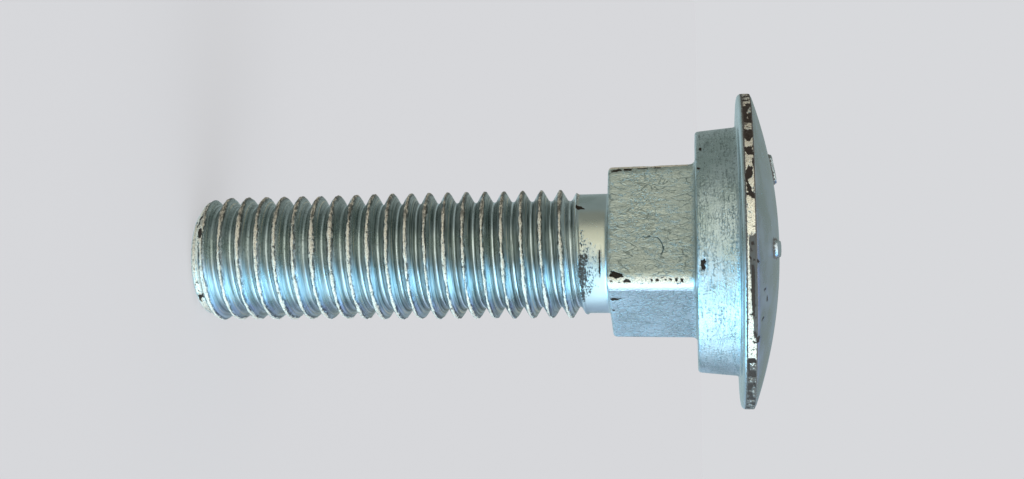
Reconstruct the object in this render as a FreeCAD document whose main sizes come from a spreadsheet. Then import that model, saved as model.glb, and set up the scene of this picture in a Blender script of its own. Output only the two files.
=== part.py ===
"""Round-headed bolt with a square neck, a round collar under the head and a rolled coarse thread.

The bolt is one forged and rolled piece. It is built along its own axis: z = 0 is the flat end
of the thread, on which it can be stood, and the head is at the top. On its side it would roll.
"""

import FreeCAD, Part
import math
import os
import Sketcher
from FreeCAD import Vector

NODE = "bolt"
NEAR = 1e-3   # two places closer than this are the same

# Lengths in millimetres, angles in degrees.
SIZES = {
    "bolt_length": 50.0,         # flat end of the thread to the underside of the head
    "thread_diameter": 11.86,
    "thread_pitch": 1.75,
    "shank_length": 3.23,        # bare shank between the thread and the neck
    "thread_angle": 61.0,        # between the two flanks of the groove
    "crest_width": 0.24,         # flat left on top of the thread
    "root_width": 0.26,          # flat at the bottom of the groove
    "first_crest": 0.81,         # flat end to the middle of the crest, where the turns are counted from
    "thread_sides": 30,          # flat sides in each turn
    "runout_turns": 0.5,         # how much of the last turn the groove takes to fade out
    "blank_margin": 0.05,        # how far the blank stands clear of the crests
    "point_diameter": 9.2,       # flat left at the end of the thread
    "point_length": 1.5,
    "point_shoulder_diameter": 10.9,
    "point_shoulder": 0.6,       # flat end to the shoulder, where the steep cone meets the slender one
    "shank_diameter": 10.9,
    "neck_length": 7.7,
    "neck_across_flats": 12.12,  # at the end towards the thread
    "neck_draft": 0.6,           # each flat leans out towards the head by this angle
    "neck_corner_radius": 1.2,
    "neck_edge_bevel": 0.35,
    "neck_turn": 64.4,           # how far the square is turned about the axis
    "collar_height": 3.7,
    "collar_diameter": 21.7,     # at the end towards the thread
    "collar_draft": 5.3,
    "collar_edge_bevel": 0.2,
    "head_diameter": 28.3,
    "rim_thickness": 1.2,
    "rim_bevel": 0.35,           # on the rim's edge towards the collar
    "dome_height": 2.4,
    "bar_length": 2.7772,        # two plain raised bars on the dome, with their rounded ends
    "bar_width": 1.5,
    "bar_end_bulge": 0.3386,     # how far each rounded end stands out
    "bar_height": 0.35,
    "bar_distance": 7.35,        # from the axis to the middle of a bar
    "bar_spacing": 90.0,
    "facing_turn": 180.0,        # turns the side with a bar to the front, which is -Y
}

# Sizes that follow from the ones above.
DERIVED = {
    "thread_radius": "thread_diameter / 2",
    "shank_radius": "shank_diameter / 2",
    "point_flat_radius": "point_diameter / 2",
    "point_shoulder_radius": "point_shoulder_diameter / 2",
    "collar_start": "bolt_length - collar_height",
    "neck_start": "collar_start - neck_length",
    "thread_length": "neck_start - shank_length",
    "neck_half_width": "neck_across_flats / 2",
    "collar_front_radius": "collar_diameter / 2",
    "collar_back_radius": "collar_front_radius + collar_height * tan(collar_draft * 1 deg)",
    "head_radius": "head_diameter / 2",
    "rim_end": "bolt_length + rim_thickness",
    "head_top": "rim_end + dome_height",
    "dome_radius": "(head_radius ^ 2 + dome_height ^ 2) / (2 * dome_height)",
    "flank_width": "(thread_pitch - crest_width - root_width) / 2",
    "root_radius": "thread_radius - flank_width / tan(thread_angle / 2 * 1 deg)",
    "blank_radius": "thread_radius + blank_margin",
    "thread_turns": "ceil((thread_length - first_crest) / thread_pitch) + 3",
    "bar_half_width": "bar_width / 2",
    "bar_half_straight": "bar_length / 2 - bar_end_bulge",
    "bar_end_radius": "(bar_half_width ^ 2 + bar_end_bulge ^ 2) / (2 * bar_end_bulge)",
    "bar_pad": "2 * bar_height",
    "bar_lean": "asin(bar_distance / dome_radius)",
    "bar_seat": "head_top - dome_radius * (1 - cos(bar_lean))",
}


def make_sheet(document):
    """The spreadsheet with every size, each under its own name."""
    sheet = document.addObject("Spreadsheet::Sheet", "Sizes")
    rows = {name: str(value) for name, value in SIZES.items()}
    rows.update({name: "=" + formula for name, formula in DERIVED.items()})
    for row, (name, content) in enumerate(rows.items(), start=1):
        sheet.set("A%d" % row, name)
        sheet.set("B%d" % row, content)
        sheet.setAlias("B%d" % row, name)
    document.recompute()
    return sheet


def origin_item(body, role):
    """One of the body's own planes or axes, such as XY_Plane or Z_Axis."""
    return next(item for item in body.Origin.OriginFeatures if item.Role == role)


def new_sketch(body, name, plane, offset=None):
    """An empty sketch on one of the body's planes, moved by a placement formula if one is given."""
    sketch = body.newObject("Sketcher::SketchObject", name)
    sketch.AttachmentSupport = [(origin_item(body, plane), "")]
    sketch.MapMode = "FlatFace"
    if offset:
        sketch.setExpression("AttachmentOffset", offset)
    return sketch


def value_of(sheet, size):
    """The present value of a size, of a size with a minus sign, or of None, which is zero."""
    if size is None:
        return 0.0
    value = getattr(sheet, size.lstrip("-"))
    value = getattr(value, "Value", value)
    return -value if size.startswith("-") else value


def bulged_side(start, finish, radius):
    """An arc from start to finish that bulges to the right of the way between them."""
    chord = finish - start
    rise = radius - math.sqrt(max(radius ** 2 - (chord.Length / 2) ** 2, 0.0))
    outward = Vector(chord.y, -chord.x, 0).normalize()
    return Part.Arc(start, (start + finish) / 2 + outward * rise, finish)


def draw_outline(sketch, corners, bulges=None):
    """Draw a closed outline, counter-clockwise, with every corner held at its named sizes.

    A corner is (across, along): each the name of a size, the name with a minus sign, or None
    for a point on the sketch's axis. bulges gives the arcs: the number of a side and the name
    of its radius.
    """
    sheet = sketch.Document.Sizes
    bulges = bulges or {}
    places = [Vector(value_of(sheet, across), value_of(sheet, along), 0) for across, along in corners]
    for side, start in enumerate(places):
        finish = places[(side + 1) % len(places)]
        if side in bulges:
            sketch.addGeometry(bulged_side(start, finish, value_of(sheet, bulges[side])))
        else:
            sketch.addGeometry(Part.LineSegment(start, finish))
    for side, (across, along) in enumerate(corners):
        side_before = (side - 1) % len(corners)
        sketch.addConstraint(Sketcher.Constraint("Coincident", side_before, 2, side, 1))
        for kind, axis, size in (("DistanceX", -2, across), ("DistanceY", -1, along)):
            if size is None:
                sketch.addConstraint(Sketcher.Constraint("PointOnObject", side, 1, axis))
            else:
                hold(sketch, Sketcher.Constraint(kind, -1, 1, side, 1, value_of(sheet, size)), size)
    for side, radius in bulges.items():
        hold(sketch, Sketcher.Constraint("Radius", side, value_of(sheet, radius)), radius)


def hold(sketch, constraint, size):
    """Add a constraint and bind it to a size, or to a size with a minus sign."""
    number = sketch.addConstraint(constraint)
    sign = "-" if size.startswith("-") else ""
    sketch.setExpression("Constraints[%d]" % number, sign + "Sizes." + size.lstrip("-"))


def bind(feature, **sizes):
    """Bind a feature's properties to sizes of the sheet, then bring the document up to date."""
    for name, size in sizes.items():
        feature.setExpression(name, "Sizes." + size)
    feature.Document.recompute()


def edges_between(shape, low, high, inner, outer):
    """Names of the edges with an end at each height and both ends between two distances from the axis."""
    names = []
    for number, edge in enumerate(shape.Edges, start=1):
        ends = [vertex.Point for vertex in edge.Vertexes]
        heights = [point.z for point in ends]
        reaches = [math.hypot(point.x, point.y) for point in ends]
        if abs(min(heights) - low) > NEAR or abs(max(heights) - high) > NEAR:
            continue
        if min(reaches) > inner - NEAR and max(reaches) < outer + NEAR:
            names.append("Edge%d" % number)
    return names


def dress_edges(body, kind, name, low, high, inner, outer, **sizes):
    """A Fillet or a Chamfer on the edges that edges_between finds on the body as it is so far."""
    base = body.Tip
    dressing = body.newObject("PartDesign::" + kind, name)
    dressing.Base = (base, edges_between(base.Shape, low, high, inner, outer))
    bind(dressing, **sizes)


def turn_blank(body):
    """The blank that the thread is cut from: its coned end and a cylinder a little over the crests."""
    corners = [
        (None, None),
        ("point_flat_radius", None),
        ("point_shoulder_radius", "point_shoulder"),
        ("blank_radius", "point_length"),
        ("blank_radius", "thread_length"),
        (None, "thread_length"),
    ]
    revolve(body, corners)


def turn_upper_form(body):
    """What is round about the axis from the shank to the top of the dome."""
    corners = [
        (None, "thread_length"),
        ("shank_radius", "thread_length"),
        ("shank_radius", "collar_start"),
        ("collar_front_radius", "collar_start"),
        ("collar_back_radius", "bolt_length"),
        ("head_radius", "bolt_length"),
        ("head_radius", "rim_end"),
        (None, "head_top"),
    ]
    revolve(body, corners, bulges={6: "dome_radius"})


def revolve(body, corners, bulges=None):
    """Turn an outline once round the axis."""
    profile = new_sketch(body, "TurnedProfile", "XZ_Plane")
    draw_outline(profile, corners, bulges)
    turned = body.newObject("PartDesign::Revolution", "TurnedForm")
    turned.Profile = profile
    turned.ReferenceAxis = (origin_item(body, "Z_Axis"), [""])
    turned.Angle = 360
    body.Document.recompute()


def add_neck(body):
    """The square neck, which tapers a little towards the thread, with rounded corners and edges."""
    square = new_sketch(
        body,
        "NeckSquare",
        "XY_Plane",
        "create(<<placement>>; create(<<vector>>; 0; 0; Sizes.neck_start);"
        " create(<<rotation>>; create(<<vector>>; 0; 0; 1); Sizes.neck_turn))",
    )
    half = "neck_half_width"
    draw_outline(square, [("-" + half, "-" + half), (half, "-" + half), (half, half), ("-" + half, half)])
    neck = body.newObject("PartDesign::Pad", "SquareNeck")
    neck.Profile = square
    bind(neck, Length="neck_length", TaperAngle="neck_draft")

    sheet = body.Document.Sizes
    front, back = sheet.neck_start, sheet.collar_start
    reach = (sheet.shank_radius + 2 * NEAR, sheet.collar_front_radius - 2 * NEAR)
    dress_edges(body, "Fillet", "NeckCorners", front, back, *reach, Radius="neck_corner_radius")
    dress_edges(body, "Chamfer", "NeckFrontEdge", front, front, *reach, Size="neck_edge_bevel")


def bevel_rings(body):
    """The small bevels on the outer edge of the collar and on the rim's lower edge."""
    sheet = body.Document.Sizes
    rings = {
        "CollarEdge": ("collar_edge_bevel", sheet.collar_start, sheet.collar_front_radius),
        "RimEdge": ("rim_bevel", sheet.bolt_length, sheet.head_radius),
    }
    for name, (bevel, height, reach) in rings.items():
        dress_edges(body, "Chamfer", name, height, height, reach, reach, Size=bevel)


def raise_bars(body):
    """Two plain bars that stand up from the dome, a quarter turn apart."""
    outline = new_sketch(
        body,
        "BarOutline",
        "XY_Plane",
        "create(<<placement>>; create(<<vector>>; Sizes.bar_distance; 0; Sizes.bar_seat);"
        " create(<<rotation>>; create(<<vector>>; 0; 1; 0); Sizes.bar_lean))",
    )
    along, across = "bar_half_straight", "bar_half_width"
    corners = [(along, "-" + across), (along, across), ("-" + along, across), ("-" + along, "-" + across)]
    draw_outline(outline, corners, bulges={0: "bar_end_radius", 2: "bar_end_radius"})
    bar = body.newObject("PartDesign::Pad", "Bar")
    bar.Profile = outline
    bar.Midplane = True
    bind(bar, Length="bar_pad")
    bars = body.newObject("PartDesign::PolarPattern", "Bars")
    bars.Originals = [bar]
    bars.Axis = (origin_item(body, "Z_Axis"), [""])
    bars.Occurrences = 2
    body.Tip = bars
    bind(bars, Angle="bar_spacing")


def thread_points(sheet):
    """Points along the helix: at each step, both edges of the crest and both edges of the root.

    The turns begin well below the flat end. In the last turns the root climbs to the shank.
    """
    sides = int(sheet.thread_sides)
    steps = int(sheet.thread_turns) * sides
    lowest = sheet.first_crest - 2 * sheet.thread_pitch
    fade_end = (sheet.thread_length - lowest) / sheet.thread_pitch
    half_crest, half_root = sheet.crest_width / 2, sheet.root_width / 2
    middle = sheet.thread_pitch / 2
    points = []
    for step in range(steps + 1):
        turns = step / sides
        faded = min(max((turns - fade_end) / sheet.runout_turns + 1, 0.0), 1.0)
        root = sheet.root_radius + faded * (sheet.shank_radius - sheet.root_radius)
        angle = 2 * math.pi * turns
        corners = (
            (sheet.thread_radius, -half_crest),
            (sheet.thread_radius, half_crest),
            (root, middle - half_root),
            (root, middle + half_root),
        )
        for radius, rise in corners:
            height = lowest + sheet.thread_pitch * turns + rise
            points.append(Vector(radius * math.cos(angle), radius * math.sin(angle), height))
    return points, sides, steps


def thread_form(document):
    """The right-hand thread as a long screw of flat facets, closed at both ends towards the axis."""
    sheet = document.Sizes
    points, sides, steps = thread_points(sheet)
    corners = 4

    def number(step, corner):
        """The number of a point; past the last corner comes the first one of the next turn."""
        return (step + sides * (corner // corners)) * corners + corner % corners

    facets = []
    last = steps - sides
    for step in range(last):
        for corner in range(corners):
            low, high = number(step, corner), number(step, corner + 1)
            next_low, next_high = number(step + 1, corner), number(step + 1, corner + 1)
            facets += [(low, next_low, next_high), (low, next_high, high)]
    for first, reverse in ((0, True), (last, False)):
        rim = [number(first + step, 0) for step in range(sides + 1)]
        rim += [number(first, corner) for corner in range(corners - 1, 0, -1)]
        tip = len(points)
        points.append(Vector(0, 0, (points[rim[0]].z + points[rim[sides]].z) / 2))
        for place, corner in enumerate(rim):
            after = rim[(place + 1) % len(rim)]
            facets.append((tip, after, corner) if reverse else (tip, corner, after))
    shape = Part.Shape()
    shape.makeShapeFromMesh((points, facets), NEAR / 10, False)
    form = document.addObject("Part::Feature", "ThreadForm")
    form.Shape = Part.Solid(Part.makeShell(shape.Faces))
    return form


def build():
    document = FreeCAD.newDocument("Bolt")
    make_sheet(document)
    blank = document.addObject("PartDesign::Body", "Blank")
    turn_blank(blank)
    upper = document.addObject("PartDesign::Body", "Upper")
    turn_upper_form(upper)
    add_neck(upper)
    bevel_rings(upper)
    raise_bars(upper)
    thread = document.addObject("Part::Common", "Thread")
    thread.Base = thread_form(document)
    thread.Tool = blank
    bolt = document.addObject("Part::Fuse", "Bolt")
    bolt.Label = NODE
    bolt.Base = upper
    bolt.Tool = thread
    bolt.setExpression(
        "Placement",
        "create(<<placement>>; create(<<vector>>; 0; 0; 0);"
        " create(<<rotation>>; create(<<vector>>; 0; 0; 1); Sizes.facing_turn))",
    )
    document.recompute()
    return document, bolt


def check(document, bolt):
    """Stop before anything is written if a feature failed or the bolt isn't one valid solid."""
    failed = [item.Name for item in document.Objects if {"Invalid", "Error"} & set(item.State)]
    if failed:
        raise RuntimeError("these objects failed: " + ", ".join(failed))
    shape = bolt.Shape
    if shape.isNull() or not shape.isValid() or len(shape.Solids) != 1:
        raise RuntimeError("the bolt isn't one valid solid")


def main():
    document, bolt = build()
    check(document, bolt)
    os.makedirs("parts", exist_ok=True)
    bolt.Shape.exportStep("parts/%s.step" % bolt.Label)
    print("bolt: %.1f mm3, %d faces" % (bolt.Shape.Volume, len(bolt.Shape.Faces)))


main()
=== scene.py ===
"""A worn zinc-plated bolt with a domed round head, a round collar, a square neck and a coarse thread.

It stands on the flat end of its thread. Lengths written with MM are millimetres.
"""

import math

import bmesh
import bpy
import numpy as np
from bpy.props import FloatProperty, FloatVectorProperty, IntProperty, PointerProperty
from mathutils import Matrix, Vector, noise


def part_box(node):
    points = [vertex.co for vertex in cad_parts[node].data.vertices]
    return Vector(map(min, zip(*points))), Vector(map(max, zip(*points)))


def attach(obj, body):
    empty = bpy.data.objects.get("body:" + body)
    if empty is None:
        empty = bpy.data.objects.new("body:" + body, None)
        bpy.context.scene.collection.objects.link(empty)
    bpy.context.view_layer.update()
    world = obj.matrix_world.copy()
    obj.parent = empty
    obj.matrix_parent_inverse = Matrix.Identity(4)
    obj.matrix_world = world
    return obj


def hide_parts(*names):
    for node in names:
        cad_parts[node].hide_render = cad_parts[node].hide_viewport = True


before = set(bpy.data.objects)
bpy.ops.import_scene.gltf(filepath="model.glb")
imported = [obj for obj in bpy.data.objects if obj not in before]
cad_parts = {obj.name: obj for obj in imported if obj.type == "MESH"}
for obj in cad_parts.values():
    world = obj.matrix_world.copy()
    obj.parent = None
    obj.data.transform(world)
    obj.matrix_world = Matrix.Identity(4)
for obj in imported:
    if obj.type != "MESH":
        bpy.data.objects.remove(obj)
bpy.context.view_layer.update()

bl_info = {
    "name": "Square-neck bolt",
    "version": (1, 0, 0),
    "blender": (4, 5, 0),
    "location": "3D View > Sidebar > Bolt",
    "description": "Makes a worn, zinc-plated square-neck bolt and the studio around it",
    "category": "Object",
}

MM = 0.001
LOWEST, HIGHEST = (np.array(corner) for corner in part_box("bolt"))
HEAD_RADIUS = float(HIGHEST[0] - LOWEST[0]) / 2
TOTAL_HEIGHT = float(HIGHEST[2])
THREAD_COLUMNS = 150
HEAD_COLUMNS = 2 * THREAD_COLUMNS
# Points closer than this are one point.
WELD_DISTANCE = 0.002 * MM


def length(name, description, default):
    """A size in metres that the sidebar shows as a length."""
    return FloatProperty(
        name=name, description=description, default=default, min=0.0, unit="LENGTH", precision=5
    )


def colour(name, description, default):
    """A surface colour without alpha."""
    return FloatVectorProperty(
        name=name, description=description, default=default, size=3, subtype="COLOR", min=0.0, max=1.0
    )


class ThreadSizes(bpy.types.PropertyGroup):
    """The rolled thread and the end that leads it in."""

    pitch: length("Pitch", "Distance between two crests along the axis", 1.75 * MM)
    crest_radius: length("Crest radius", "Axis to the top of the thread", 5.93 * MM)
    depth: length("Depth", "Crest to root", 1.06 * MM)
    first_crest: length("First crest", "Height of the lowest crest on the -X side", 0.81 * MM)
    end_radius: length("End radius", "Flat left at the end of the thread", 4.6 * MM)
    shoulder_radius: length("Shoulder radius", "Where the steep cone of the end meets the next", 5.45 * MM)
    shoulder_height: length("Shoulder height", "Flat end to that shoulder", 0.6 * MM)
    step_height: length("Step height", "Where the thread steps down to the shank", 35.6 * MM)
    top_height: length("Top height", "Where the threaded stretch is joined to the shank", 37.0 * MM)
    burr: length("Burr", "How far the rolled edge of the step stands up", 0.1 * MM)
    rows: IntProperty(name="Rows", description="Rows of points in each turn", default=16, min=8)
    turns: IntProperty(name="Turns", description="Turns of the grid, two below the end", default=23, min=3)


class ShankSizes(bpy.types.PropertyGroup):
    """The plain shank, the square neck and the collar."""

    shank_radius: length("Shank radius", "Plain shank", 5.45 * MM)
    neck_start: length("Neck start", "Flat end of the thread to the square", 38.6 * MM)
    neck_half_width: length("Neck half width", "Axis to a flat of the square, at its lower end", 6.06 * MM)
    neck_corner: length("Neck corner", "Radius of the square's corners", 1.2 * MM)
    neck_turn: FloatProperty(
        name="Neck turn",
        description="How far the square is turned about the axis",
        default=math.radians(64.4),
        subtype="ANGLE",
    )
    collar_start: length("Collar start", "Flat end of the thread to the collar", 46.3 * MM)
    collar_radius: length("Collar radius", "Lower end of the collar", 10.85 * MM)
    collar_top_radius: length("Collar top radius", "Collar where it meets the head", 11.19 * MM)


class HeadSizes(bpy.types.PropertyGroup):
    """The domed head and the two plain bars on it."""

    under_head: length("Under the head", "Flat end of the thread to the underside of the head", 50.0 * MM)
    rim_radius: length("Rim radius", "Axis to the outside of the rim", HEAD_RADIUS)
    rim_top: length("Rim top", "Flat end of the thread to the edge where the dome begins", 51.2 * MM)
    dome_top: length("Dome top", "Flat end of the thread to the top of the dome", 53.6 * MM)
    bar_distance: length("Bar distance", "Axis to the middle of a bar", 7.35 * MM)
    bar_length: length("Bar length", "Along the radius", 2.7772 * MM)
    bar_width: length("Bar width", "Across the radius", 1.5 * MM)
    bar_end_radius: length("Bar end radius", "Rounding of a bar's two ends", 1.0 * MM)
    bar_height: length("Bar height", "How far a bar stands up", 0.35 * MM)


class Finish(bpy.types.PropertyGroup):
    """Colours of the plating and of what shows where it is worn."""

    zinc: colour("Zinc", "Plating where it is clean", (0.52, 0.56, 0.56))
    zinc_dark: colour("Dulled zinc", "Plating where it has clouded", (0.42, 0.47, 0.455))
    film: colour("Dried film", "Dry film on the square neck", (0.60, 0.595, 0.52))
    grime: colour("Grime", "Dirt held in streaks, cracks and grain", (0.12, 0.14, 0.13))
    # Dirt on the rim, also laid as painted shade round the foot of the bars.
    soil: colour("Soil", "Brown-grey dirt on the rim", (0.075, 0.062, 0.047))
    # Pale zinc, which also lays the painted highlights by the corner of the square, on the last turn and in
    # the roots.
    bright: colour("Painted_highlight", "Edges polished by handling", (0.80, 0.84, 0.86))
    cream: colour("Rubbed", "Ridges that are rubbed bare", (0.90, 0.78, 0.62))
    # Darker cream, also laid as the painted reflection on the front of the shank.
    cream_dark: colour("Rubbed, darker", "Darker grains among them", (0.52, 0.44, 0.33))
    bare_steel: colour("Chipped", "Chips down to brown steel", (0.043, 0.029, 0.020))


WEAR_LAYERS = (
    "thread", "neck", "lower_face", "collar", "dome", "sooty", "darkened",
    "cream_reflection", "painted_highlight", "rubbed", "soiled", "stained", "chipped",
)


class NodeBuilder:
    """Adds nodes to a tree so that a formula reads like one."""

    def __init__(self, tree):
        self.tree = tree

    def feed(self, socket, value):
        if isinstance(value, bpy.types.NodeSocket):
            self.tree.links.new(value, socket)
        else:
            socket.default_value = value

    def node(self, kind, inputs=None, **settings):
        node = self.tree.nodes.new(kind)
        for name, value in settings.items():
            setattr(node, name, value)
        for key, value in (inputs or {}).items():
            self.feed(node.inputs[key], value)
        return node

    def math(self, operation, *values):
        node = self.node("ShaderNodeMath", operation=operation)
        for socket, value in zip(node.inputs, values):
            self.feed(socket, value)
        return node.outputs[0]

    def product(self, *values):
        result = values[0]
        for value in values[1:]:
            result = self.math("MULTIPLY", result, value)
        return result

    def difference(self, first, second):
        return self.math("SUBTRACT", first, second)

    def largest(self, *values):
        result = values[0]
        for value in values[1:]:
            result = self.math("MAXIMUM", result, value)
        return result

    def total(self, *values):
        result = values[0]
        for value in values[1:]:
            result = self.math("ADD", result, value)
        return result

    def off(self, value, middle):
        """How far a value is from the middle, either way."""
        return self.math("ABSOLUTE", self.difference(value, middle))

    def ragged(self, texture, strength, value):
        """The value with a noise texture added to it, which has one half as its mean."""
        return self.math("MULTIPLY_ADD", self.difference(texture, 0.5), strength, value)

    def smooth(self, value, low, high, start=0.0, finish=1.0):
        """A smooth step from start to finish as value goes from low to high."""
        node = self.node("ShaderNodeMapRange", interpolation_type="SMOOTHSTEP")
        names = ("Value", "From Min", "From Max", "To Min", "To Max")
        for name, given in zip(names, (value, low, high, start, finish)):
            self.feed(node.inputs[name], given)
        return node.outputs[0]

    def graph(self, value, points):
        """A curve through the points, each (x, y) or (x, y, "VECTOR") for a sharp one."""
        node = self.node("ShaderNodeFloatCurve", {"Value": value})
        curve = node.mapping.curves[0]
        for place, point in enumerate(points):
            if place < 2:
                curve.points[place].location = point[:2]
            else:
                curve.points.new(*point[:2])
        node.mapping.update()
        for point, made in zip(sorted(points), curve.points):
            made.handle_type = point[2] if len(point) > 2 else "AUTO_CLAMPED"
        node.mapping.update()
        return node.outputs[0]


# Depth of the groove from a crest to the root beside it, in shares of the pitch and of the full depth.
FLANK = ((0.0, 0.0), (0.055, 0.015), (0.08, 0.06), (0.375, 0.90), (0.43, 0.985))
NEXT_FLANK = tuple((1.0 - along, deep) for along, deep in reversed(FLANK))
THREAD_PROFILE = tuple((*point, "VECTOR") for point in (*FLANK, (0.5, 1.0), *NEXT_FLANK))
COUNT_INPUTS = ("rows", "turns")
SIZE_INPUTS = tuple(name for name in ThreadSizes.__annotations__ if name not in COUNT_INPUTS)
# Slope of the slender cone at the end, and how softly the cones meet each other and the thread.
SLENDER_SLOPE = 0.53
CONE_BLEND = 0.12 * MM
THREAD_BLEND = 0.08 * MM
# The step up to the shank: where the thread fades out, and the burr, both measured from the step.
FADE_START = -0.28 * MM
FADE_END = 0.06 * MM
BURR_CENTRE = -0.02 * MM
BURR_WIDTH = 0.11 * MM
# How many pitches the step lies above its height, at each share of a turn.
STEP_RISE = ((0.0, 0.0), (0.5, 0.5, "VECTOR"), (0.62, 0.55), (1.0, 0.0))


def thread_tree(material):
    """Nodes that wrap a grid round the axis along the helix and press the thread's profile into it."""
    tree = bpy.data.node_groups.new("Rolled thread", "GeometryNodeTree")
    sockets = [(name, "NodeSocketFloat") for name in (*SIZE_INPUTS, "shank_radius")]
    sockets += [(name, "NodeSocketInt") for name in (*COUNT_INPUTS, "columns")]
    names = {}
    for name, kind in sockets:
        label = name.replace("_", " ").capitalize()
        names[name] = tree.interface.new_socket(label, in_out="INPUT", socket_type=kind)
    tree.interface.new_socket("Geometry", in_out="OUTPUT", socket_type="NodeSocketGeometry")
    b = NodeBuilder(tree)
    given = tree.nodes.new("NodeGroupInput")
    size = {name: given.outputs[socket.name] for name, socket in names.items()}

    row_count = b.total(b.product(size["rows"], size["turns"]), 1)
    column_count = b.total(size["columns"], 1)
    grid = b.node("GeometryNodeMeshGrid", {"Vertices X": row_count, "Vertices Y": column_count})
    index = b.node("GeometryNodeInputIndex").outputs[0]
    row = b.math("FLOOR", b.math("DIVIDE", b.total(index, 0.5), column_count))
    column = b.difference(index, b.product(row, column_count))
    share = b.math("DIVIDE", column, size["columns"])

    turns_up = b.total(b.math("DIVIDE", row, size["rows"]), share)
    lowest = b.difference(size["first_crest"], b.product(size["pitch"], 2.0))
    free_height = b.total(lowest, b.product(size["pitch"], turns_up))
    height = b.math("MINIMUM", b.largest(free_height, 0.0), size["top_height"])
    above_crest = b.math("DIVIDE", b.difference(height, size["first_crest"]), size["pitch"])
    phase = b.math("FRACT", b.difference(above_crest, share))
    pressed = b.product(size["depth"], b.graph(phase, THREAD_PROFILE))
    thread_radius = b.difference(size["crest_radius"], pressed)

    widening = b.difference(size["shoulder_radius"], size["end_radius"])
    steep_slope = b.math("DIVIDE", widening, size["shoulder_height"])
    steep_cone = b.total(size["end_radius"], b.product(height, steep_slope))
    above_shoulder = b.difference(height, size["shoulder_height"])
    slender_cone = b.total(size["shoulder_radius"], b.product(above_shoulder, SLENDER_SLOPE))
    end_radius = b.math("SMOOTH_MIN", steep_cone, slender_cone, CONE_BLEND)
    thread_radius = b.math("SMOOTH_MIN", thread_radius, end_radius, THREAD_BLEND)

    step = b.total(size["step_height"], b.product(size["pitch"], b.graph(share, STEP_RISE)))
    past_step = b.difference(height, step)
    on_shank = b.smooth(past_step, FADE_START, FADE_END)
    from_burr = b.math("DIVIDE", b.difference(past_step, BURR_CENTRE), BURR_WIDTH)
    bump = b.math("POWER", math.e, b.product(from_burr, from_burr, -1.0))
    threaded = b.product(thread_radius, b.difference(1.0, on_shank))
    plain = b.product(size["shank_radius"], on_shank)
    radius = b.total(threaded, plain, b.product(bump, size["burr"]))

    angle = b.product(share, -2.0 * math.pi)
    across = b.product(radius, b.product(b.math("COSINE", angle), -1.0))
    depthwise = b.product(radius, b.math("SINE", angle))
    place = b.node("ShaderNodeCombineXYZ", {"X": across, "Y": depthwise, "Z": height}).outputs[0]
    wrapped = b.node("GeometryNodeSetPosition", {"Geometry": grid.outputs["Mesh"], "Position": place})
    inputs = {"Geometry": wrapped.outputs[0], "Distance": WELD_DISTANCE}
    merged = b.node("GeometryNodeMergeByDistance", inputs)
    real = b.node("GeometryNodeRealizeInstances", {"Geometry": merged.outputs[0]})
    painted = b.node("GeometryNodeSetMaterial", {"Geometry": real.outputs[0], "Material": material})
    result = tree.nodes.new("NodeGroupOutput")
    tree.links.new(painted.outputs[0], result.inputs[0])
    return tree, {name: socket.identifier for name, socket in names.items()}


def grown_mesh(name, tree, values):
    """The mesh that a node tree makes from the given inputs, with nothing live left on it."""
    seed = bpy.data.objects.new(name + "_nodes", bpy.data.meshes.new(name + "_nodes"))
    bpy.context.collection.objects.link(seed)
    modifier = seed.modifiers.new("Nodes", "NODES")
    modifier.node_group = tree
    for identifier, value in values.items():
        modifier[identifier] = value
    evaluated = seed.evaluated_get(bpy.context.evaluated_depsgraph_get())
    mesh = bpy.data.meshes.new_from_object(evaluated)
    mesh.name = name
    bpy.data.objects.remove(seed)
    return mesh


def square_reach(angles, half_width, corner):
    """Distance from the axis to the side of a square with rounded corners, at each angle."""
    quarter = math.pi / 2
    off_flat = np.abs((angles + quarter / 2) % quarter - quarter / 2)
    flat = half_width / np.cos(off_flat)
    centre = half_width - corner
    from_diagonal = quarter / 2 - off_flat
    along = centre * math.sqrt(2.0) * np.cos(from_diagonal)
    aside = centre * math.sqrt(2.0) * np.sin(from_diagonal)
    rounded = along + np.sqrt(np.maximum(corner**2 - aside**2, 0.0))
    return np.where(np.tan(off_flat) * half_width <= centre, flat, rounded)


def ring_points(radius, heights, columns):
    """Points of one ring, counted the way the thread turns, with the first one at -X."""
    angles = np.arange(columns) * (2 * math.pi / columns)
    radius = np.broadcast_to(radius, angles.shape)
    heights = np.broadcast_to(heights, angles.shape)
    return np.stack([-radius * np.cos(angles), -radius * np.sin(angles), heights], axis=1)


# Each flat of the square neck leans out by this much for each length towards the collar.
NECK_DRAFT = math.tan(math.radians(0.6))


def between(first, second, share):
    """A value on the way from the first to the second."""
    return first * (1 - share) + second * share


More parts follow.
